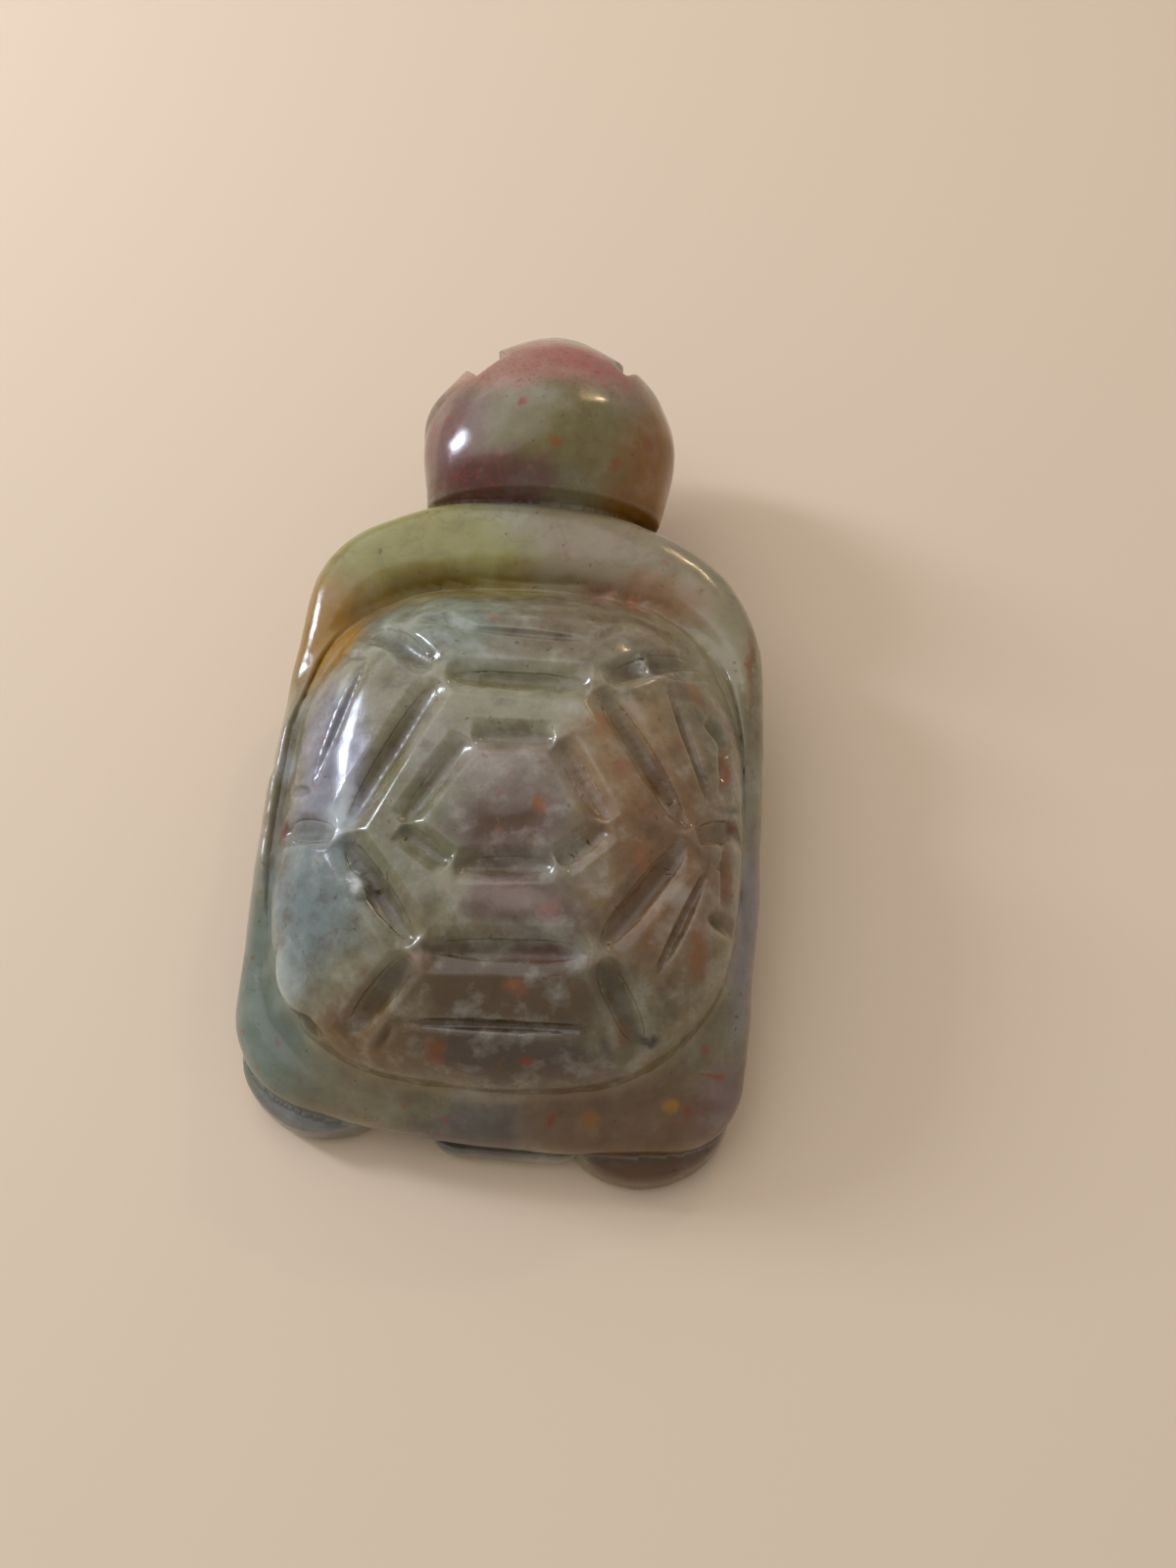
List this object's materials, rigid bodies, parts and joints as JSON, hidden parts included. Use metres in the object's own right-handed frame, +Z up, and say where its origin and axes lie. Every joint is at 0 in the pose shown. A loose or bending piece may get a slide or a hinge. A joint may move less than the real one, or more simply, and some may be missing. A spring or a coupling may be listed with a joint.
{
  "type": "carved stone turtle figurine",
  "caption": "Small polished stone turtle with a domed shell cut with hexagon scutes, a thick rolled rim, a round head, short legs with flat soles and a flat tail.",
  "frame": {"origin": "centre of the footprint, on the surface that the soles rest on", "axes": "+Z up, +Y along the body towards the head, +X to the turtle's right-hand side seen from behind"},
  "size_m": [0.0562, 0.105, 0.029],
  "materials": {
    "dome_stone": "polished, slightly translucent",
    "rim_stone": "polished, slightly translucent",
    "belly_stone": "polished, slightly translucent",
    "head_stone": "polished, slightly translucent",
    "neck_stone": "polished, slightly translucent",
    "tail_stone": "polished, slightly translucent",
    "leg_stone": "polished, slightly translucent"
  },
  "bodies": {
    "root": {"carapace": "dome_stone", "shell_rim": "rim_stone", "belly": "belly_stone", "head": "head_stone", "neck": "neck_stone", "tail": "tail_stone", "front_left_leg": "leg_stone", "front_right_leg": "leg_stone", "rear_left_leg": "leg_stone", "rear_right_leg": "leg_stone"}
  },
  "joints": []
}
